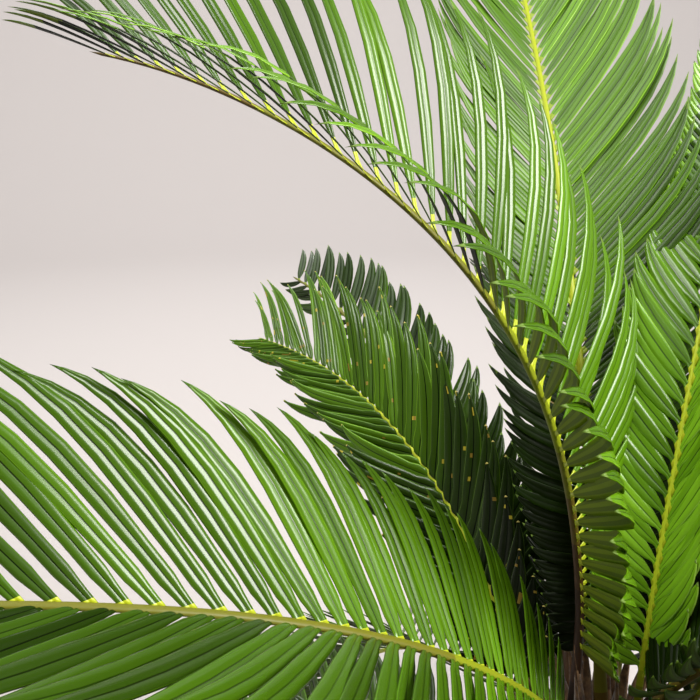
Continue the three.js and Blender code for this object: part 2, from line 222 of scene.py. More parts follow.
# Leaflet across: place from edge to edge, height above its middle plane in millimetres, and the strips between
ACROSS = np.array([-1, -0.86, -0.34, -0.07, 0.07, 0.34, 0.86, 1, 0.5, 0, -0.5])
RELIEF = np.array([-0.35, 0.2, 0.5, 0.05, 0.05, 0.5, 0.2, -0.35, -0.3, -0.55, -0.3])
RIM, FLESH, GROOVE, UNDER, UNDER_PALE = 0, 1, 2, 3, 4
STRIP = np.array([RIM, FLESH, FLESH, GROOVE, FLESH, FLESH, RIM, UNDER, UNDER_PALE, UNDER, UNDER_PALE])
VEIN_PITCH = 1.5

# Plain colours, deep to bright
GREENS = [
    "#0c1603", "#142204", "#1c3004", "#263e06", "#304c07", "#3a5b08", "#456a0a", "#527b0c", "#5f8d10", "#6fa016",
    "#82b522", "#a0cd4c",
]
# Undersides in pairs, deep to bright: the first is painted shade for leaflets painted as in shadow, and the last
# olive pair is painted light shining through the leaflets
UNDERS = ["#0a1003", "#1c2506", "#2f420b", "#405a10", "#566a03", "#728705"]
BASES = ["#869c1a", "#b2be1f", "#c4ca28"]
TIPS = ["#5d7a1c", "#d2c262"]
SPECKS = ["#9a7f22", "#c9b92c"]
RIB_RAMP = [
    "#1f120a", "#2e1b0d", "#432b11", "#584814", "#666613", "#7c860f", "#99a410", "#b3bd17", "#c8d42a",
]

# Where each group of colours starts in the list of leaf finishes, which ends with the greens in a softer gloss
UNDER_AT = len(GREENS)
BASE_AT = UNDER_AT + len(UNDERS)
TIP_AT = BASE_AT + len(BASES)
SPECK_AT = TIP_AT + len(TIPS)
SOFT_AT = SPECK_AT + len(SPECKS)

# How shades are dealt out: steps by chance, share of the frond over which painted shade deepens its foot, steps of
# painted shade from which a leaflet is painted as in shadow and from which its tip is too, and the station at which
# the tip starts
SHADE_STEPS = [-1, 0, 0, 0, 1]
FOOT_SHADE_SHARE = 0.45
SHADOW_FROM = 3
SHADOW_WHOLE = 5
TIP_FROM = 8

# Specks: first station, length of the short stations, chance on short and other faces, and share of the deeper kind
SPECK_FROM = 4
SPECK_LONG = 0.03
SPECK_CHANCE = (0.045, 0.011)
SPECK_DEEPER = 0.4

# A row's figures at these shares of the blade; a single number stays the same all along it
KNOTS = [0, 0.3, 0.6, 1]


def row_of(vee, angle=0, curl=6, power=2, bend=28, length=1, twist=12, width=1, painted_shade=0, painted_rim_groove=2, hook=1):
    """One row's figures: vee, angle added, curl towards the upper side and its power, bend towards the frond's tip,
    length share, twist, width share, steps of painted shade (below 0 painted light), steps by which the rims are
    paler as painted highlight and the groove deeper as painted shade, and how much broader the last third of a
    leaflet is."""
    return dict(vee=vee, angle=angle, curl=curl, power=power, bend=bend, length=length, twist=twist, width=width,
                painted_shade=painted_shade, painted_rim_groove=painted_rim_groove, hook=hook)


# What a frond's look says where LOOKS has nothing else: green, underside, foot colour and stations it takes, steps
# of painted shade at the frond's foot for the shade inside the crown (below 0 painted light), tip colour (below 0
# the leaflet's own), shades of the rib at RAMP_S, share of the pitch, specks, softer gloss, waist, rib width and
# how loosely the leaflets stand
USUAL = dict(
    green=6, under=1, base=1, foot=2, deep=4, tip=0, ramp=(2, 5, 7, 8), pitch=1, specks=False, soft=False, waist=1,
    rib=1, loose=1)

# Looks by frond; some of their greens and all their steps of painted shade paint how light and shade fall on each
# frond
LOOKS = {
    # Frond 0: the olive undersides of its near row are painted light shining through, its deep bodies painted shade
    0: dict(
        green=7, under=2, foot=3, deep=0, ramp=(0, 1, 5, 3), pitch=0.76,
        right=row_of(
            (28, 28, 32, 30), angle=(15, 10, 9, 5), curl=(-30, -30, -20, -10), power=2.5, bend=24, length=1.1,
            twist=6, width=(1.1, 1.1, 0.95, 0.85), painted_shade=(0, 0, 1, 3), painted_rim_groove=1),
        left=row_of(
            (30, 34, 40, 40), angle=(2, -2, -4, 0), curl=(-50, -62, -60, -5), power=3.7, bend=26,
            length=(0.95, 0.98, 1, 0.7), twist=(15, -6, -18, -12), width=(1.35, 1, 0.7, 1.15),
            painted_shade=(0, 0.4, 3.4, 5), hook=1.5)),
    1: dict(
        green=5, tip=-1, foot=(1, 0), deep=-3, ramp=(3, 5, 4, 3), waist=1.8, rib=0.85, loose=1.1,
        pitch=(0.7, 0.78, 0.94, 1),
        right=row_of(
            (34, 31, 27, 23), bend=44, length=(0.6, 0.93, 1.28, 1.34), twist=6, width=(0.88, 1.12, 0.94, 0.9),
            painted_shade=(1, -1, 1.6, 2)),
        left=row_of(
            (-15, 30, 27, 23), angle=(-8, 0, 0, 0), bend=(0, 14, 20, 20), length=(1.4, 1.15, 1, 1),
            twist=(-10, -30, -50, -50), width=(1.8, 1.15, 0.78, 0.75), painted_shade=(0.6, 0.6, 2, 2), painted_rim_groove=1)),
    2: dict(
        green=7, base=0, deep=8, ramp=(2, 6, 6, 6), pitch=0.52, rib=0.9, waist=1.7, soft=True,
        right=row_of((22, 20, 18, 16), twist=4, width=1.3, painted_shade=(1, 1, 0, 0), painted_rim_groove=3),
        left=row_of(
            (22, 20, 18, 16), angle=(15, 6, 0, 0), length=(0.5, 0.7, 1, 1), twist=4, width=1.25,
            painted_shade=(2.4, 1.4, 1, 1))),
    3: dict(
        green=9, under=2, base=2, foot=1, deep=-1, ramp=(2, 8, 8, 8), pitch=0.85, rib=0.52,
        right=row_of((32, 30, 26, 22), angle=(-36, -26, -10, 0), twist=6, width=1.35),
        left=row_of(
            (32, 8, -28, -36), angle=(-12, -8, 0, 0), length=(0.75, 0.7, 0.62, 0.7), twist=6, width=1.2,
            painted_shade=(0, 1, 4, 5))),
    4: dict(
        green=7, tip=1, base=2, foot=0, deep=8, ramp=(2, 7, 8, 8), rib=0.65, waist=2.5, loose=3,
        pitch=(1, 0.92, 0.78, 0.6), specks=True,
        right=row_of(
            (32, 30, 26, 22), angle=(0, 4, 12, 20), length=(1, 1, 1, 1.02), twist=-40,
            width=(1.15, 1.15, 1.1, 0.9), painted_shade=(1, 1, 0.6, 0), painted_rim_groove=3),
        left=row_of(
            (32, 30, 26, 22), angle=(-16, -15, -10, 0), length=(1, 1, 0.9, 0.7), twist=-45, width=1.1, painted_shade=1)),
    # Fronds 5 and 6 stand behind in shade: their deepest greens and undersides are painted shade
    5: dict(
        green=3, loose=2, under=0, base=0, ramp=(1, 4, 4, 4),
        right=row_of(
            (34, 32, 28, 24), angle=(0, 4, 12, 25), length=(0.64, 0.69, 0.76, 0.75), twist=-20, width=1.3),
        left=row_of((-10, -40, -50, -50), length=(0.9, 0.8, 0.6, 0.6))),
    6: dict(
        green=0, under=0, base=0, ramp=(1, 3, 3, 3), right=row_of((28, 25, 22, 20)),
        left=row_of((28, 25, 22, 20), length=(0.4, 0.5, 0.62, 0.75))),
    7: dict(
        green=5, ramp=(2, 3, 7, 8), pitch=0.66, right=row_of((24, 22, 20, 20), width=1.1),
        left=row_of((24, 22, 20, 20), width=1.1)),
    8: dict(green=9, base=2, ramp=(2, 7, 7, 8)),
}

# Leaflets are joined by height, each piece with the fronds that it stands for
LEAFLET_PIECES = {"leaflets_high": range(0, 7), "leaflets_middle": range(7, 14), "leaflets_low": range(14, 21)}

# Studio: the photograph's camera, the floor with its cove, the sky, and the lamps besides the key lamp with place,
# aim, size, power and colour; the studio is in metres
CAMERA_PLACE = (-0.1118, -0.3667, 0.5827)
CAMERA_TILT = 75
CAMERA_LENS = 49.45
CAMERA_SENSOR = 36
CAMERA_NEAR = 0.01
FLOOR_COLOUR = "#bdb8b6"
FLOOR_SIDES = 64
FLOOR_FLAT_R = 1
COVE_FROM_R = 3.2
COVE_R = 1.4
COVE_RINGS = 12
BACKDROP_TOP_Z = 4.2
SKY_COLOUR = (1, 0.985, 0.965, 1)
PLANT_AIM = (0, 0.1, 0.4)
LAMPS = [
    ("front_lamp", (-0.6, -0.5, 1.87), PLANT_AIM, 0.5, 14, (1, 0.98, 0.95)),
    ("top_lamp", (-0.6, 0.9, 2.4), PLANT_AIM, 1.6, 22, (1, 0.99, 0.97)),
    ("backdrop_lamp", (0, 1.6, 3.4), (-0.6, 4.3, 1.3), 1.5, 142, (1, 0.985, 0.98)),
]


def linear(colour):
    """Scene-linear red, green and blue of a plain #rrggbb colour; three numbers pass as they are."""
    if not isinstance(colour, str):
        return tuple(colour)
    value = np.array([int(colour[k:k + 2], 16) for k in (1, 3, 5)]) / 255
    return tuple(np.where(value > 0.04045, ((value + 0.055) / 1.055) ** 2.4, value / 12.92))


def table(x, xs, ys):
    """Straight-line reading of a table."""
    return np.interp(x, xs, ys)


def unit(a):
    """Vectors of length one."""
    return a / np.linalg.norm(a, axis=-1, keepdims=True)


def mesh_piece(name, points, faces, finishes, finish_of=None, uv=None, smooth=True):
    """Object at the origin from whole arrays: points in millimetres, faces as arrays of k-sided polygons."""
    mesh = bpy.data.meshes.new(name)
    loops = np.concatenate([np.asarray(f).ravel() for f in faces]).astype(np.int32)
    sides = np.concatenate([np.full(len(f), np.asarray(f).shape[1]) for f in faces])
    mesh.vertices.add(len(points))
    mesh.vertices.foreach_set("co", (np.asarray(points, np.float32) * UNIT).ravel())
    mesh.loops.add(len(loops))
    mesh.loops.foreach_set("vertex_index", loops)
    mesh.polygons.add(len(sides))
    mesh.polygons.foreach_set("loop_start", np.concatenate([[0], np.cumsum(sides)[:-1]]).astype(np.int32))
    for finish in finishes:
        mesh.materials.append(finish)
    if finish_of is not None:
        mesh.polygons.foreach_set("material_index", np.asarray(finish_of, np.int32))
    mesh.polygons.foreach_set("use_smooth", np.full(len(sides), smooth))
    if uv is not None:
        layer = mesh.uv_layers.new(name="Along")
        layer.data.foreach_set("uv", np.asarray(uv, np.float32)[loops].ravel())
    mesh.update(calc_edges=True)
    mesh.validate()
    piece = bpy.data.objects.new(name, mesh)
    bpy.context.scene.collection.objects.link(piece)
    return piece


def seat(piece, slot, *nodes):
    """The piece rides on the plant and stands for its nodes; the slot is not used."""
    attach(piece, BODY)
    if nodes:
        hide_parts(*nodes)
    return piece


def frond_path(row):
    """Table of a frond's path: place, tangent, sideways and upper direction at STEPS + 1 stations.

    The rise falls from foot to tip with a power of the share, the heading swings with the share to SWING_POWER,
    and the place is the running sum of the tangent. Below the blade the foot is drawn over to its seat on the dome.
    """
    azimuth, swing, rise_foot, rise_tip, power, length, roll_foot, roll_tip = row[:8]
    s = np.linspace(0, 1, STEPS + 1)
    el = np.radians(rise_foot + (rise_tip - rise_foot) * s ** power)
    az = np.radians(azimuth + swing * s ** SWING_POWER)
    t = np.stack([np.cos(el) * np.cos(az), np.cos(el) * np.sin(az), np.sin(el)], -1)
    start = np.array([row[10], row[11], CROWN_Z + row[12]])
    stand = np.array([row[13], row[14], CROWN_Z + table(math.hypot(row[13], row[14]), SEAT_R, SEAT_RISE)])
    steps = (t[1:] + t[:-1]) * 0.5 * length / STEPS
    p = start + np.concatenate([np.zeros((1, 3)), np.cumsum(steps, 0)])
    w = np.maximum(0, 1 - s / FOOT_SHARE)[:, None]
    shift = (stand - start)[None]
    p = p + shift * w * w
    t = unit(t - shift * 2 * w / (FOOT_SHARE * length))
    b = np.stack([np.sin(az), -np.cos(az), np.zeros_like(az)], -1)
    b = unit(b - t * (b * t).sum(-1, keepdims=True))
    n = np.cross(b, t)
    roll = np.radians(roll_foot + (roll_tip - roll_foot) * s)[:, None]
    return p, t, b * np.cos(roll) + n * np.sin(roll), n * np.cos(roll) - b * np.sin(roll)


def along(path, s):
    """Place, tangent, sideways and upper direction at shares s, straight between the table's stations."""
    k = np.clip(s, 0, 1) * STEPS
    i = np.minimum(k.astype(int), STEPS - 1)
    w = (k - i)[:, None]
    p, t, b, n = [a[i] * (1 - w) + a[i + 1] * w for a in path]
    return p, unit(t), unit(b), unit(n)


def blade_share(s):
    """Share of the blade at shares s of the frond."""
    return (s - BLADE_START) / (1 - BLADE_START)


def at_knots(u, figure):
    """A figure at shares u of the blade, straight between the knots."""
    return table(u, KNOTS, np.broadcast_to(figure, len(KNOTS)))


def pitch_at(u, share):
    """Pitch of a row's leaflets at shares u of the blade: the table times the frond's own share."""
    return LEAF_PITCH * table(u, PITCH_U, PITCH_SHARE) * at_knots(u, share)


def leaf_stations(length, shift, share):
    """Shares at which one row's leaflets stand, one pitch after the other."""
    out = []
    s = BLADE_START + shift * pitch_at(0, share) / length
    while s < BLADE_END:
        out.append(s)
        s += pitch_at(blade_share(s), share) / length
    return np.array(out)


def shells(rings, tips, mirrored=False):
    """Closed shells from n stacks of r rings of k points and their tips: points, quads, triangles and end faces.

    The rings turn clockwise seen from the tip; a mirrored stack has its faces turned round.
    """
    n, r, k = rings.shape[:3]
    points = np.concatenate([rings.reshape(n, r * k, 3), tips[:, None]], 1)
    ring = np.arange(k)
    a = (np.arange(r - 1)[:, None] * k + ring).ravel()
    c = (np.arange(r - 1)[:, None] * k + (ring + 1) % k).ravel()
    quads = np.stack([a, c, c + k, a + k], -1)
    tris = np.stack([(r - 1) * k + ring, (r - 1) * k + (ring + 1) % k, np.full(k, r * k)], -1)
    first = (np.arange(n) * (r * k + 1))[:, None, None]
    flip = np.broadcast_to(mirrored, n)
    out = [points.reshape(-1, 3)]
    for faces in (quads, tris, ring[::-1][None]):
        all_faces = faces[None] + first
        all_faces[flip] = all_faces[flip][:, :, ::-1]
        out.append(all_faces.reshape(-1, faces.shape[1]))
    return out


def figure_of(look, key, u, side):
    """A row's figure for every leaflet at shares u of the blade; side 1 is the right row and -1 the left one."""
    return np.where(side > 0, at_knots(u, look["right"][key]), at_knots(u, look["left"][key]))


def leaflets(row, look, f):
    """Points, quads, triangles, end faces, finishes and across-along values of one frond's leaflets.

    Each leaflet is a closed section carried along an arc: its direction turns steadily from ahead of the row's
    angle back past it, lifts towards the upper side by the curl, and its width follows the half-width table.
    """
    rng = np.random.default_rng(LEAF_SEED + f)
    rows = [leaf_stations(row[5], shift, look["pitch"]) for shift in ROW_SHIFT]
    side = np.repeat([1.0, -1.0], [len(of) for of in rows])
    s = np.concatenate(rows)
    u = blade_share(s)
    count = len(s)
    p, t, b, n = along(frond_path(row), s)
    figure = lambda key: figure_of(look, key, u, side)
    chance = lambda key, loose=1: rng.normal(0, SPREAD[key] * loose, count)
    col = lambda a: a[:, None]

    phi = LEAF_ANGLE_BASE - LEAF_ANGLE_FALL * np.sqrt(u)
    crowd = LEAF_CROWD * pitch_at(u, look["pitch"]) * np.sin(np.radians(phi)) + LEAF_OVERLAP
    half = np.minimum(LEAF_HALF_MOST, crowd) * figure("width")
    loose = look["loose"]
    length = row[9] * table(u, LENGTH_U, LENGTH_SHARE) * (1 + chance("length", loose)) * figure("length")
    phi = phi + figure("angle") + chance("angle", loose)
    vee = np.radians(figure("vee") + chance("vee", loose))
    curl, bend, twist = [figure(key) + chance(key) for key in ("curl", "bend", "twist")]
    power = figure("power")
    across = b * col(side * np.cos(vee)) + n * col(np.sin(vee))
    upper = n * col(np.cos(vee)) - b * col(side * np.sin(vee))

    stations = LEAF_V
    if look["specks"]:
        stations = np.sort(np.concatenate([LEAF_V, LEAF_V[SPECK_FROM:] + SPECK_LONG]))
    leaf_half, leaf_waist, leaf_turn, leaf_hook = [
        table(stations, LEAF_V, of) for of in (LEAF_HALF, LEAF_WAIST, LEAF_TURN, LEAF_HOOK)]

    def heading(v):
        """Direction of the middle line at shares v of the leaflet."""
        a = np.radians(col(phi) + LEAF_AHEAD - col(bend) * v ** 3)
        lift = np.radians(col(curl) * v ** col(power))
        flat = t[:, None] * np.cos(a)[..., None] + across[:, None] * np.sin(a)[..., None]
        return flat * np.cos(lift)[..., None] + upper[:, None] * np.sin(lift)[..., None]

    ends = np.concatenate([stations, [1.0]])
    middle = (ends[1:] + ends[:-1]) / 2
    steps = heading(middle[None]) * (np.diff(ends)[None] * col(length))[..., None]
    rib_half = table(s, RIB_S, RIB_WIDTH) / 2 * look["rib"]
    rib_high = table(s, RIB_S, RIB_THICK) / 2
    root = p + b * col(side * rib_half * ROOT_ASIDE) + n * col(rib_high * ROOT_UP)
    line = root[:, None] + np.concatenate([np.zeros((count, 1, 3)), np.cumsum(steps, 1)], 1)
    facing = side[:, None, None]
    d = heading(stations[None])
    flat = unit(np.cross(upper[:, None], d) * facing)
    up = np.cross(d, flat) * facing
    turn = np.radians(twist)[:, None, None]
    w = flat * np.cos(turn) - up * np.sin(turn)
    share = leaf_turn[None, :, None]
    w = unit(t[:, None] * (1 - share) + w * share)
    m = unit(np.cross(d, w) * facing)
    broad = leaf_half * (1 + (look["waist"] - 1) * leaf_waist) * (1 + (col(figure("hook")) - 1) * leaf_hook)
    high = (LEAF_THIN + (1 - LEAF_THIN) * broad)[..., None] * (half / LEAF_HALF_MOST)[:, None, None]
    x = ACROSS * broad[..., None] * half[:, None, None]
    z = RELIEF[None, None] * high
    rings = line[:, :-1, None] + w[:, :, None] * x[..., None] + m[:, :, None] * z[..., None]
    reach = np.broadcast_to(stations[None, :, None], x.shape) * length[:, None, None]
    uv = np.stack([x, reach], -1).reshape(count, -1, 2)
    uv = np.concatenate([uv, np.stack([np.zeros(count), length], -1)[:, None]], 1)
    return *shells(rings, line[:, -1], side > 0), *leaf_shades(rng, look, s, side, len(stations)), uv.reshape(-1, 2)


def leaf_shades(rng, look, s, side, rings):
    """Finishes of the side faces, end faces and foot faces of one frond's leaflets.

    A leaflet's green is the frond's, a step up or down by chance and deeper towards the frond's foot as painted
    shade. The rims are paler as painted highlight and the groove is deeper as painted shade, by the row's steps for
    them. In painted shadow the rims stay deep and the undersides are deepest, and the tip stays bright unless the
    whole leaflet is painted as in shadow.
    """
    u, k = blade_share(s), len(ACROSS)
    # Painted shade: greens deeper towards the frond's foot, where the inside of the crown lies in shade; below 0 it
    # is painted light
    foot_painted_shade = np.round(look["deep"] * np.maximum(0, 1 - s / FOOT_SHADE_SHARE))
    shade = look["green"] + rng.choice(SHADE_STEPS, len(s)) - foot_painted_shade
    shade = np.clip(shade, 0, len(GREENS) - 2).astype(int)[:, None]
    painted_shade, painted_rim_groove = [np.round(figure_of(look, key, u, side)).astype(int)[:, None] for key in ("painted_shade", "painted_rim_groove")]
    strip = np.tile(STRIP, rings - 1)
    station = np.repeat(np.arange(rings - 1), k)
    inner = station < TIP_FROM
    # Painted shade: the row's steps deepen the leaflet, and from SHADOW_FROM on its rims and undersides are painted
    # as in shadow
    flesh = np.maximum(shade - np.where(inner | (painted_shade < SHADOW_FROM) | (painted_shade >= SHADOW_WHOLE), painted_shade, 0), 0)
    # Painted highlight on the rims and painted shade in the groove
    body = np.where(strip == RIM, np.minimum(flesh + painted_rim_groove, len(GREENS) - 1), flesh)
    body = np.where(strip == GROOVE, np.maximum(flesh - 2 * painted_rim_groove, 0), body)
    body = np.where(strip >= UNDER, UNDER_AT + 2 * look["under"] + strip - UNDER, body)
    shadow = inner & (painted_shade >= SHADOW_FROM)
    body = np.where(shadow & (strip == RIM), flesh, body)
    body = np.where(shadow & (strip >= UNDER), UNDER_AT, body)
    if look["soft"]:
        body = np.where(body < UNDER_AT, body + SOFT_AT, body)
    foot_end = np.where(side > 0, *np.broadcast_to(look["foot"], 2))[:, None]
    body = np.where(station < foot_end, BASE_AT + look["base"], body)
    if look["specks"]:
        short = (station >= SPECK_FROM) & ((station - SPECK_FROM) % 2 == 0)
        chance = rng.random(body.shape) / np.where(short, *SPECK_CHANCE)
        spot = (chance < 1) & (strip == FLESH) & (station >= SPECK_FROM)
        body = np.where(spot, SPECK_AT + (chance >= SPECK_DEEPER), body)
    end = np.broadcast_to(shade if look["tip"] < 0 else TIP_AT + look["tip"], (len(s), k))
    return body.ravel(), end.ravel(), np.full(len(s), BASE_AT + look["base"])


def rib(row, look):
    """Points, faces and finishes of one frond's rib: a rounded section, flatter above, carried to a point.

    The section is an ellipse whose upper half is about two thirds as high as its lower half.
    """
    s = np.concatenate([[0], np.linspace(0, 1, RIB_RINGS)])
    p, t, b, n = along(frond_path(row), s)
    p[0] -= t[0] * SEAT_DEPTH
    ring = np.arange(RIB_SIDES)
    a = 2 * np.pi * ring / RIB_SIDES
    w, h = [table(s, RIB_S, of)[:, None] / 2 * look["rib"] for of in (RIB_WIDTH, RIB_THICK)]
    x = w * np.cos(a)
    z = h * np.where(np.sin(a) > 0, RIB_UPPER, RIB_LOWER) * np.sin(a)
    rings = p[:, None] + b[:, None] * x[..., None] + n[:, None] * z[..., None]
    points = np.concatenate([rings.reshape(-1, 3), (p[-1] + t[-1] * RIB_POINT)[None]])
    after = (ring + 1) % RIB_SIDES
    start = np.arange(len(s) - 1)[:, None] * RIB_SIDES
    i, j = (start + ring).ravel(), (start + after).ravel()
    quads = np.stack([i, i + RIB_SIDES, j + RIB_SIDES, j], -1)
    last = (len(s) - 1) * RIB_SIDES
    tris = np.stack([last + ring, np.full(RIB_SIDES, len(points) - 1), last + after], -1)
    shade = np.repeat(np.round(table(s[1:], RAMP_S, look["ramp"])).astype(int), RIB_SIDES)
    return points, quads, tris, ring[None], shade, np.full(RIB_SIDES, shade[-1]), shade[:1]


def look_of(f):
    """Look of a frond, its own figures over the usual ones."""
    rows = row_of([FRONDS[f][8] * (VEE_BASE - VEE_FALL * k) for k in KNOTS])
    return {**USUAL, "right": rows, "left": rows, **LOOKS.get(f, {})}


def joined(parts):
    """Arrays of several parts as one, their faces renumbered."""
    first = np.cumsum([0] + [len(part[0]) for part in parts[:-1]])
    points = np.concatenate([part[0] for part in parts])
    faces = [np.concatenate([part[k] + at for part, at in zip(parts, first)]) for k in (1, 2, 3)]
    finish_of = np.concatenate([np.concatenate([part[k] for part in parts]) for k in (4, 5, 6)])
    return points, faces, finish_of


def node(tree, kind, **values):
    """A shader node with its values set."""
    made = tree.nodes.new(kind)
    for key, value in values.items():
        if hasattr(made, key):
            setattr(made, key, value)
        else:
            made.inputs[key.replace("_", " ")].default_value = value
    return made


def plain(name, colour, roughness, **sockets):
    """Finish with one base colour on the shader's own socket."""
    finish = bpy.data.materials.new(name)
    finish.use_nodes = True
    shader = finish.node_tree.nodes["Principled BSDF"]
    shader.inputs["Base Color"].default_value = (*linear(colour), 1)
    shader.inputs["Roughness"].default_value = roughness
    for key, value in sockets.items():
        shader.inputs[key.replace("_", " ")].default_value = value
    return finish, finish.node_tree, shader


def placed(tree, kind="ShaderNodeTexNoise", **values):
    """Noise, or another shader node, that reads the piece's own Object coordinates."""
    made = node(tree, kind, **values)
    tree.links.new(node(tree, "ShaderNodeTexCoord").outputs["Object"], made.inputs["Vector"])
    return made


def tones(tree, source, shader, *stops):
    """Base colour read from a ramp over the source's first output; each stop is a place on it and a colour."""
    ramp = node(tree, "ShaderNodeValToRGB")
    elements = ramp.color_ramp.elements
    for k, (place, colour) in enumerate(stops):
        stop = elements[k] if k < 2 else elements.new(place)
        stop.position, stop.color = place, (*linear(colour), 1)
    tree.links.new(source.outputs[0], ramp.inputs[0])
    tree.links.new(ramp.outputs[0], shader.inputs["Base Color"])


def relief(tree, height, target, strength, distance):
    """Bump from the height's first output into the target's normal."""
    made = node(tree, "ShaderNodeBump", Strength=strength, Distance=distance)
    tree.links.new(height.outputs[0], made.inputs["Height"])
    tree.links.new(made.outputs[0], target.inputs["Normal"])
    return made


def leaf_finish(name, colour, roughness, shine, coat=0.0):
    """Leaf skin: fine lengthwise veins and a soft grain as relief, from the piece's own across-along values."""
    finish, tree, shader = plain(
        name, colour, roughness, Coat_Weight=coat, Coat_Roughness=0.22, Specular_IOR_Level=shine)
    link = tree.links.new
    place = node(tree, "ShaderNodeUVMap", uv_map="Along")
    split = node(tree, "ShaderNodeSeparateXYZ")
    link(place.outputs[0], split.inputs[0])
    turns = node(tree, "ShaderNodeMath", operation="MULTIPLY")
    turns.inputs[1].default_value = 2 * math.pi / VEIN_PITCH
    link(split.outputs[0], turns.inputs[0])
    wave = node(tree, "ShaderNodeMath", operation="SINE")
    link(turns.outputs[0], wave.inputs[0])
    stretch = node(tree, "ShaderNodeMapping", Scale=(0.45, 0.03, 1))
    link(place.outputs[0], stretch.inputs[0])
    grain = node(tree, "ShaderNodeTexNoise", Scale=1.0, Detail=2.0)
    link(stretch.outputs[0], grain.inputs["Vector"])
    mixed = node(tree, "ShaderNodeMath", operation="MULTIPLY_ADD")
    mixed.inputs[1].default_value = 0.25
    link(wave.outputs[0], mixed.inputs[0])
    link(grain.outputs[0], mixed.inputs[2])
    relief(tree, mixed, shader, 0.22, 0.0001)
    return finish


def leaf_finishes(roughness):
    """All leaf finishes in the order that the faces count them; the deep greens shine least."""
    shine = table(np.arange(len(GREENS)), [0, 2, 3], [0.08, 0.2, 0.42])
    out = [leaf_finish(f"leaf_green_{k:02d}", c, roughness, shine[k]) for k, c in enumerate(GREENS)]
    groups = [
        ("under", UNDERS, 0.6, 0.15, 0), ("base", BASES, 0.42, 0.4, 0.1), ("tip", TIPS, 0.5, 0.4, 0),
        ("speck", SPECKS, 0.5, 0.4, 0), ("soft", GREENS, 0.4, 0.35, 0),
    ]
    for name, colours, *figures in groups:
        out += [leaf_finish(f"leaf_{name}_{k:02d}", c, *figures) for k, c in enumerate(colours)]
    return out


def rib_finish(k, colour, roughness):
    """Rib skin: smooth and waxy with faint pits."""
    finish, tree, shader = plain(
        f"rib_shade_{k:02d}", colour, roughness, Coat_Weight=0.08, Coat_Roughness=0.3, Specular_IOR_Level=0.3)
    relief(tree, placed(tree, Scale=420.0, Detail=3.0), shader, 0.35, 0.0004)
    return finish


def earthy_finish(name, dark, light, scale, roughness, depth, **sockets):
    """Rough natural finish: two colours dealt out by noise, with the same noise as relief."""
    finish, tree, shader = plain(name, dark, roughness, **sockets)
    grain = placed(tree, Scale=scale, Detail=6.0, Roughness=0.65)
    tones(tree, grain, shader, (0.35, dark), (0.68, light))
    relief(tree, grain, shader, 0.7, depth)
    return finish


def clay_finish(name, dark, light):
    """Fired clay: soft blotches of two colours, pale bloom in specks, fine turning rings and pores as relief."""
    finish, tree, shader = plain(name, dark, 0.78)
    blotch = placed(tree, Scale=9.0, Detail=5.0, Roughness=0.6)
    bloom = [0.6 * c + 0.16 for c in light]
    tones(tree, blotch, shader, (0.36, dark), (0.6, light), (0.78, bloom))
    flat = placed(tree, "ShaderNodeMapping", Scale=(1, 1, 60))
    rings = node(tree, "ShaderNodeTexNoise", Scale=6.0, Detail=3.0)
    tree.links.new(flat.outputs[0], rings.inputs["Vector"])
    coarse = relief(tree, rings, shader, 0.6, 0.0005)
    relief(tree, placed(tree, Scale=260.0, Detail=3.0), coarse, 0.5, 0.0002)
    return finish


def turned(profile, sides):
    """Points and faces of a surface of revolution from (radius, height) pairs; a radius of 0 closes a pole."""
    profile = np.array(profile, float)
    ring = np.arange(sides)
    after = (ring + 1) % sides
    a = 2 * np.pi * ring / sides
    points, rows, at = [], [], 0
    for r, z in profile:
        if r == 0:
            points.append(np.array([[0, 0, z]]))
            rows.append(np.full(sides, at))
            at += 1
        else:
            points.append(np.stack([r * np.cos(a), r * np.sin(a), np.full(sides, z)], -1))
            rows.append(at + ring)
            at += sides
    quads, tris = [], []
    for low, high in zip(rows[:-1], rows[1:]):
        if low[0] == low[-1]:
            tris.append(np.stack([low, high[after], high], -1))
        elif high[0] == high[-1]:
            tris.append(np.stack([low, low[after], high], -1))
        else:
            quads.append(np.stack([low, low[after], high[after], high], -1))
    return np.concatenate(points), [np.concatenate(f) for f in (quads, tris) if f]


def ripple(points, pitch, seed, octaves=3):
    """Smooth wavy value in about -1..1: four sines of seeded directions, each octave half as long and as high."""
    rng = np.random.default_rng(seed)
    out = np.zeros(points.shape[:-1])
    for k in range(octaves):
        turn = unit(rng.normal(size=(4, 3))) * 2 * np.pi * 2 ** k / pitch
        out += np.sin(points @ turn.T + rng.uniform(0, 6.28, 4)).sum(-1) / 4 * 0.5 ** k
    return out


def waves(points, rows):
    """Sum of ripples at the points, each row giving a height, a pitch and a seed."""
    return sum(height * ripple(points, pitch, seed) for height, pitch, seed in rows)


def eased(profile, radius, steps=4, most=0.45):
    """Profile with its inner corners rounded by a quadratic curve of the given reach, at most a share of a side."""
    pts = np.array(profile, float)
    out = [tuple(pts[0])]
    for a, b, c in zip(pts[:-2], pts[1:-1], pts[2:]):
        before, after = np.linalg.norm(b - a), np.linalg.norm(c - b)
        reach = min(radius, before * most, after * most)
        p = b + (a - b) / before * reach
        q = b + (c - b) / after * reach
        for k in np.linspace(0, 1, steps + 1):
            out.append(tuple((1 - k) ** 2 * p + 2 * k * (1 - k) * b + k * k * q))
    out.append(tuple(pts[-1]))
    return out


def soil_edge():
    """Radius of the soil's top edge: the pot's slanting inner side at that height, less a small gap."""
    share = (SOIL_EDGE_Z - POT_FLOOR) / (POT_HEIGHT - POT_FLOOR)
    return POT_INNER_FOOT_R + (POT_INNER_RIM_R - POT_INNER_FOOT_R) * share - SOIL_WALL_GAP


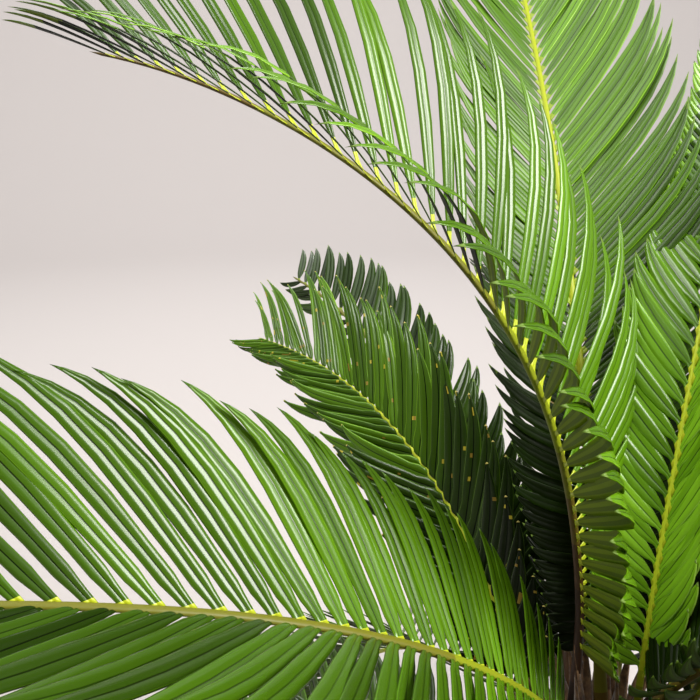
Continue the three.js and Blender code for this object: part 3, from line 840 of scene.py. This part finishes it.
def soil_body():
    """Points and faces of the soil: a turned profile whose crowned top is pushed by waves that fade at its edge."""
    edge = soil_edge()
    low = POT_FLOOR + SOIL_FLOOR_GAP
    radii = np.linspace(0.001, 1, SOIL_RINGS)[::-1][1:-1]
    crown = [(r * edge, SOIL_EDGE_Z + (SOIL_CROWN_Z - SOIL_EDGE_Z) * (1 - r)) for r in radii]
    foot = [(0, low), (POT_INNER_FOOT_R - SOIL_WALL_GAP, low), (edge, SOIL_EDGE_Z)]
    points, faces = turned([*foot, *crown, (0, SOIL_CROWN_Z)], SOIL_SIDES)
    top = points[:, 2] > SOIL_EDGE_Z + 0.01
    fade = np.minimum(1, (edge - np.hypot(points[:, 0], points[:, 1])) / SOIL_FADE)
    points[:, 2] += np.where(top, waves(points, SOIL_WAVES) * fade, 0)
    return points, faces


def soil_lumps(count):
    """Shells of the loose lumps, jagged balls of a few rings squashed by chance, and 1 for each pale face."""
    rng = np.random.default_rng(CRUMB_SEED)
    size = rng.uniform(*CRUMB_SIZE, count) * np.where(rng.random(count) < CRUMB_BIG_SHARE, CRUMB_BIG, 1)
    away = np.sqrt(rng.uniform(CRUMB_INNER, 1, count)) * (soil_edge() - CRUMB_EDGE_GAP)
    angle = rng.uniform(0, 2 * np.pi, count)
    centre = np.stack([away * np.cos(angle), away * np.sin(angle), np.full(count, SOIL_EDGE_Z + CRUMB_UP)], -1)
    around = np.linspace(0, 2 * np.pi, CRUMB_SIDES, endpoint=False)[None, None]
    level = np.radians(CRUMB_LEVELS)[None, :, None]
    ball = np.stack(np.broadcast_arrays(
        np.cos(level) * np.cos(around), -np.cos(level) * np.sin(around), np.sin(level)), -1)
    squash = size[:, None] * rng.uniform(*CRUMB_SQUASH, (count, 3))
    jag = 1 + CRUMB_JAG * rng.normal(size=(count, len(CRUMB_LEVELS), CRUMB_SIDES, 1))
    rings = centre[:, None, None] + ball * squash[:, None, None] * jag
    pale = rng.random(count) < CRUMB_PALE_SHARE
    sides = (len(CRUMB_LEVELS) - 1) * CRUMB_SIDES
    kinds = np.concatenate([np.repeat(pale, sides), np.repeat(pale, CRUMB_SIDES), pale]).astype(int)
    return shells(rings, centre + squash * [0, 0, 1.0], True), kinds


def spiral(count):
    """Outward and sideways directions at turns of the golden angle round the trunk's axis."""
    turn = np.arange(count) * GOLDEN
    flat = np.zeros(count)
    return np.stack([np.cos(turn), np.sin(turn), flat], -1), np.stack([-np.sin(turn), np.cos(turn), flat], -1)


def bark_surface(profile, run):
    """Points and faces of the bark: the profile turned about the axis, a little sunk and pushed about by waves."""
    r, z = [table(np.linspace(0, run[-1], TRUNK_RINGS), run, of) for of in profile.T]
    rows = [(max(a - BARK_SUNK, 0.5), b) for a, b in zip(r[:-1], z[:-1])]
    points, faces = turned([(0, TRUNK_FOOT_Z), *rows, (0, z[-1] - TRUNK_TOP_SUNK)], TRUNK_SIDES)
    away = points / np.maximum(np.hypot(points[:, 0], points[:, 1]), 1)[:, None]
    points[:, :2] += away[:, :2] * waves(points, BARK_WAVES)[:, None]
    return points, faces


def leaf_base_shells(rng, profile, run, count):
    """Shells of the old leaf bases on the golden spiral, and 1 for each face of the paler scar on their ends.

    Each is a stump that stands on the bark: rings of a rhomb whose sides are hollowed by a power of the cosine and
    sine, shifted upwards as they rise along the outward direction of the trunk's profile.
    """
    out, _ = spiral(count)
    far = table((np.arange(count) + 0.5) / count, [0, 1], [BASE_FIRST, run[-1] * BASE_LAST_SHARE])
    place = np.stack([table(far, run, of) for of in profile.T], -1)
    slope = unit(np.stack([table(far + BASE_PROBE, run, of) for of in profile.T], -1) - place)
    upward = out * slope[:, :1] + [0, 0, 1] * slope[:, 1:]
    outward = out * slope[:, 1:] - [0, 0, 1] * slope[:, :1]
    aside = np.cross(upward, outward)
    wide = table(place[:, 0], *BASE_WIDE) * rng.uniform(*BASE_WIDE_RANGE, count)
    high = wide * rng.uniform(*BASE_HIGH_RANGE, count)
    reach = rng.uniform(*BASE_REACH_RANGE, count)
    around = np.linspace(0, 2 * np.pi, BASE_SIDES, endpoint=False)
    rhomb = [np.sign(a) * np.abs(a) ** BASE_POWER for a in (np.cos(around), -np.sin(around))]
    share, shift, stand = [a[None, :, None] for a in (BASE_SHARE, BASE_SHIFT, BASE_STAND)]
    jag = lambda: 1 + BASE_JAG * rng.normal(size=(count, 1, BASE_SIDES))
    col = lambda a: a[:, None, None]
    x = col(wide) * share * rhomb[0] * jag()
    y = col(high) * (share * rhomb[1] * jag() + shift)
    foot = out * (place[:, :1] - BARK_SUNK) + [0, 0, 1] * place[:, 1:]
    axes = [col(a) for a in (aside, upward, outward)]
    put = lambda *xyz: col(foot) + sum(axis * a[..., None] for axis, a in zip(axes, xyz))
    tips = put(0 * col(wide), col(high) * BASE_SHIFT[-1], col(reach) * BASE_TIP_STAND)[:, 0, 0]
    kinds = np.concatenate([
        np.tile(np.repeat(BASE_BANDS, BASE_SIDES), count), np.ones(BASE_SIDES * count), np.zeros(count)])
    return shells(put(x, y, col(reach) * stand + 0 * x), tips, True), kinds


def crown_scale_shells(rng, profile, count):
    """Shells of the woolly scales on the golden spiral over the dome.

    Each is a flat tapering spike that starts under the dome and leans outwards, more so towards its tip.
    """
    out, aside = spiral(count)
    r = SCALE_FIRST_R + SCALE_BAND * np.sqrt((np.arange(count) + 0.5) / count)
    z = table(-r, -profile[:, 0], profile[:, 1]) - SCALE_SUNK
    lean = np.radians(table(r, *SCALE_LEAN) + rng.normal(0, SCALE_LEAN_SPREAD, count))
    long = table(r, *SCALE_LONG) * rng.uniform(*SCALE_LONG_RANGE, count)
    wide = rng.uniform(*SCALE_WIDE_RANGE, count)
    bow = (lean[:, None] * SCALE_BOW)[..., None]
    way = out[:, None] * np.sin(bow) + [0, 0, 1] * np.cos(bow)
    back = out[:, None] * np.cos(bow) - [0, 0, 1] * np.sin(bow)
    foot = out * r[:, None] + [0, 0, 1] * z[:, None]
    line = foot[:, None] + way * (SCALE_V * long[:, None])[..., None]
    around = np.linspace(0, 2 * np.pi, SCALE_SIDES, endpoint=False)
    half = wide[:, None, None] * SCALE_TAPER[None, :, None]
    x, y = half * np.cos(around), -half * SCALE_THICK * np.sin(around)
    rings = line[:, :, None] + aside[:, None, None] * x[..., None] + back[:, :, None] * y[..., None]
    return shells(rings, foot + way[:, -1] * long[:, None])


def lamp(scene, name, place, aim, size, power, colour):
    """Square soft box at a place, turned to its aim."""
    light = bpy.data.lights.new(name, "AREA")
    light.size = size
    light.energy = power
    light.color = colour
    made = bpy.data.objects.new(name, light)
    made.location = place
    way = np.array(aim) - np.array(place)
    flat = math.hypot(way[0], way[1])
    made.rotation_euler = (math.atan2(flat, -way[2]), 0, math.atan2(way[1], way[0]) - math.pi / 2)
    made.visible_camera = False
    scene.collection.objects.link(made)


class PalmStageSizes(bpy.types.PropertyGroup):
    """Floor and light."""

    floor_colour: bpy.props.FloatVectorProperty(
        name="Floor colour", description="Pale floor and backdrop", size=3, subtype="COLOR",
        default=linear(FLOOR_COLOUR), min=0, max=1)
    key_power: bpy.props.FloatProperty(
        name="Key power", description="Power of the large lamp at the upper right", default=54, min=0, unit="POWER")
    sky: bpy.props.FloatProperty(
        name="Sky strength", description="Strength of the soft light from all round", default=0.22, min=0)


class PALM_OT_stage(bpy.types.Operator):
    """Makes the camera, the pale floor with its backdrop and the soft studio light"""

    bl_idname = "palm.stage"
    bl_label = "Stage"

    def execute(self, context):
        scene = context.scene
        sizes = scene.palm_stage
        camera = bpy.data.cameras.new("photo_camera")
        camera.sensor_fit = "HORIZONTAL"
        camera.sensor_width = CAMERA_SENSOR
        camera.lens = CAMERA_LENS
        camera.clip_start = CAMERA_NEAR
        view = bpy.data.objects.new("photo_camera", camera)
        view.location = CAMERA_PLACE
        view.rotation_euler = (math.radians(CAMERA_TILT), 0, 0)
        scene.collection.objects.link(view)
        scene.camera = view

        cove = [(COVE_FROM_R + COVE_R * math.sin(a), COVE_R - COVE_R * math.cos(a))
                for a in np.linspace(0, math.pi / 2, COVE_RINGS)]
        profile = [(0, 0), (FLOOR_FLAT_R, 0), *cove, (COVE_FROM_R + COVE_R, BACKDROP_TOP_Z)]
        points, faces = turned(profile, FLOOR_SIDES)
        finish, _, _ = plain("floor_paint", sizes.floor_colour, 0.9)
        floor = mesh_piece("studio_floor", points / UNIT, [f[:, ::-1] for f in faces], [finish])

        world = scene.world or bpy.data.worlds.new("studio")
        scene.world = world
        world.use_nodes = True
        sky = world.node_tree.nodes["Background"]
        sky.inputs["Color"].default_value = SKY_COLOUR
        sky.inputs["Strength"].default_value = sizes.sky
        lamp(scene, "key_lamp", (1.14, -0.61, 1.55), (0, 0.1, 0.42), 0.8, sizes.key_power, (1, 0.97, 0.92))
        for figures in LAMPS:
            lamp(scene, *figures)
        scene.view_settings.view_transform = "Standard"
        return {"FINISHED"}


class PalmPotSizes(bpy.types.PropertyGroup):
    """Pot and soil."""

    clay: bpy.props.FloatVectorProperty(
        name="Clay", description="Main colour of the pot", size=3, subtype="COLOR", default=linear("#a1644a"),
        min=0, max=1)
    crumbs: bpy.props.IntProperty(
        name="Crumbs", description="Number of loose lumps on the soil", default=900, min=0, max=3000)
    rim_round: bpy.props.FloatProperty(
        name="Rim rounding", description="Reach of the rounding at the pot's edges", default=0.0022, min=0,
        max=0.004, unit="LENGTH")


class PALM_OT_pot(bpy.types.Operator):
    """Makes the plain round pot with its rim band"""

    bl_idname = "palm.pot"
    bl_label = "Pot"

    def execute(self, context):
        reach = context.scene.palm_pot.rim_round / UNIT
        profile = eased([
            (0, 0), (POT_FOOT_R, 0), (POT_BAND_UNDER_R, POT_BAND_Z), (POT_BAND_R, POT_BAND_Z + POT_BAND_STEP),
            (POT_RIM_R, POT_HEIGHT), (POT_INNER_RIM_R, POT_HEIGHT), (POT_INNER_FOOT_R, POT_FLOOR), (0, POT_FLOOR),
        ], reach)
        points, faces = turned(profile, POT_SIDES)
        clay = np.array(context.scene.palm_pot.clay)
        pot = mesh_piece("pot_shell", points, faces, [clay_finish("pot_clay", clay * POT_SHADE, clay)])
        seat(pot, "pot", "pot")
        return {"FINISHED"}


class PALM_OT_soil(bpy.types.Operator):
    """Makes the crumbly soil that fills the pot"""

    bl_idname = "palm.soil"
    bl_label = "Soil"

    def execute(self, context):
        earth = earthy_finish("soil_earth", "#1a120c", "#463222", 160, 0.95, 0.0016)
        grit = earthy_finish("soil_grit", "#6f675c", "#a39a8b", 300, 0.9, 0.0004)
        points, faces = soil_body()
        soil = mesh_piece("soil_fill", points, faces, [earth])
        seat(soil, "soil", "soil")

        (points, *faces), kinds = soil_lumps(context.scene.palm_pot.crumbs)
        crumbs = mesh_piece("soil_crumbs", points, faces, [earth, grit], kinds, smooth=False)
        seat(crumbs, "soil", "soil")
        return {"FINISHED"}


class PalmTrunkSizes(bpy.types.PropertyGroup):
    """Trunk."""

    leaf_bases: bpy.props.IntProperty(
        name="Leaf bases", description="Number of old leaf bases in the spiral on the trunk", default=300, min=0,
        max=800)
    crown_scales: bpy.props.IntProperty(
        name="Crown scales", description="Number of woolly scales between the fronds", default=170, min=0, max=600)


class PALM_OT_trunk(bpy.types.Operator):
    """Makes the stout trunk, its spiral of old leaf bases and the woolly scales of its crown"""

    bl_idname = "palm.trunk"
    bl_label = "Trunk"

    def execute(self, context):
        sizes = context.scene.palm_trunk
        bark = earthy_finish("trunk_bark", "#20160e", "#5a4430", 90, 0.94, 0.002)
        scar = earthy_finish("trunk_scar", "#4a3a2a", "#8f7a5d", 130, 0.9, 0.0012)
        wool = earthy_finish("crown_wool", "#3c2618", "#8f6c45", 220, 0.96, 0.0012, Sheen_Weight=0.35)
        rng = np.random.default_rng(TRUNK_SEED)
        profile = np.array(TRUNK_PROFILE, float)
        run = np.concatenate([[0], np.cumsum(np.hypot(*np.diff(profile, axis=0).T))])
        points, faces = bark_surface(profile, run)
        trunk = mesh_piece("trunk_bark", points, faces, [bark])
        seat(trunk, "trunk", "trunk")

        (points, *faces), kinds = leaf_base_shells(rng, profile, run, sizes.leaf_bases)
        bases = mesh_piece("trunk_leaf_bases", points, faces, [bark, scar], kinds, smooth=False)
        seat(bases, "trunk", "trunk")

        points, *faces = crown_scale_shells(rng, profile, sizes.crown_scales)
        crown = mesh_piece("crown_scales", points, faces, [wool])
        seat(crown, "trunk", "trunk")
        return {"FINISHED"}


class PalmLeafSizes(bpy.types.PropertyGroup):
    """Fronds."""

    roughness: bpy.props.FloatProperty(
        name="Leaf roughness", description="Roughness of the upper leaf skin", default=0.25, min=0, max=1,
        subtype="FACTOR")
    rib_roughness: bpy.props.FloatProperty(
        name="Rib roughness", description="Roughness of the waxy ribs", default=0.5, min=0, max=1,
        subtype="FACTOR")


class PALM_OT_ribs(bpy.types.Operator):
    """Makes the ribs of all fronds"""

    bl_idname = "palm.ribs"
    bl_label = "Ribs"

    def execute(self, context):
        points, faces, finish_of = joined([rib(row, look_of(f)) for f, row in enumerate(FRONDS)])
        roughness = context.scene.palm_leaf.rib_roughness
        finishes = [rib_finish(k, c, roughness) for k, c in enumerate(RIB_RAMP)]
        piece = mesh_piece("frond_ribs", points, faces, finishes, finish_of)
        seat(piece, "frond", *[f"frond_{f + 1:02d}" for f in range(len(FRONDS))])
        return {"FINISHED"}


class PALM_OT_leaflets(bpy.types.Operator):
    """Makes the leaflets of all fronds, joined into three pieces"""

    bl_idname = "palm.leaflets"
    bl_label = "Leaflets"

    def execute(self, context):
        finishes = leaf_finishes(context.scene.palm_leaf.roughness)
        for name, group in LEAFLET_PIECES.items():
            parts = [leaflets(FRONDS[f], look_of(f), f) for f in group]
            points, faces, finish_of = joined(parts)
            uv = np.concatenate([part[7] for part in parts])
            piece = mesh_piece(name, points, faces, finishes, finish_of, uv)
            seat(piece, "frond", *[f"frond_{f + 1:02d}" for f in group])
        return {"FINISHED"}


class PALM_PT_panel(bpy.types.Panel):
    """Sizes and steps of the potted sago palm"""

    bl_idname = "PALM_PT_panel"
    bl_label = "Potted Sago Palm"
    bl_space_type = "VIEW_3D"
    bl_region_type = "UI"
    bl_category = "Palm"

    def draw(self, context):
        for group in GROUPS:
            box = self.layout.box()
            sizes = getattr(context.scene, group)
            for key in sizes.__annotations__:
                box.prop(sizes, key)
        for step in STEPS_IN_ORDER:
            self.layout.operator(step.bl_idname)


STEPS_IN_ORDER = (PALM_OT_stage, PALM_OT_pot, PALM_OT_soil, PALM_OT_trunk, PALM_OT_ribs, PALM_OT_leaflets)
GROUPS = {
    "palm_stage": PalmStageSizes, "palm_pot": PalmPotSizes, "palm_trunk": PalmTrunkSizes, "palm_leaf": PalmLeafSizes,
}


def register():
    """Registers the classes and hangs the groups of sizes on the scene."""
    for made in (*GROUPS.values(), *STEPS_IN_ORDER, PALM_PT_panel):
        bpy.utils.register_class(made)
    for key, group in GROUPS.items():
        setattr(bpy.types.Scene, key, bpy.props.PointerProperty(type=group))


def unregister():
    """Takes back what register made."""
    for key in GROUPS:
        delattr(bpy.types.Scene, key)
    for made in reversed((*GROUPS.values(), *STEPS_IN_ORDER, PALM_PT_panel)):
        bpy.utils.unregister_class(made)


def main():
    """Registers the add-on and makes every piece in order."""
    register()
    for step in STEPS_IN_ORDER:
        group, name = step.bl_idname.split(".")
        getattr(getattr(bpy.ops, group), name)()


if __name__ == "__main__":
    main()
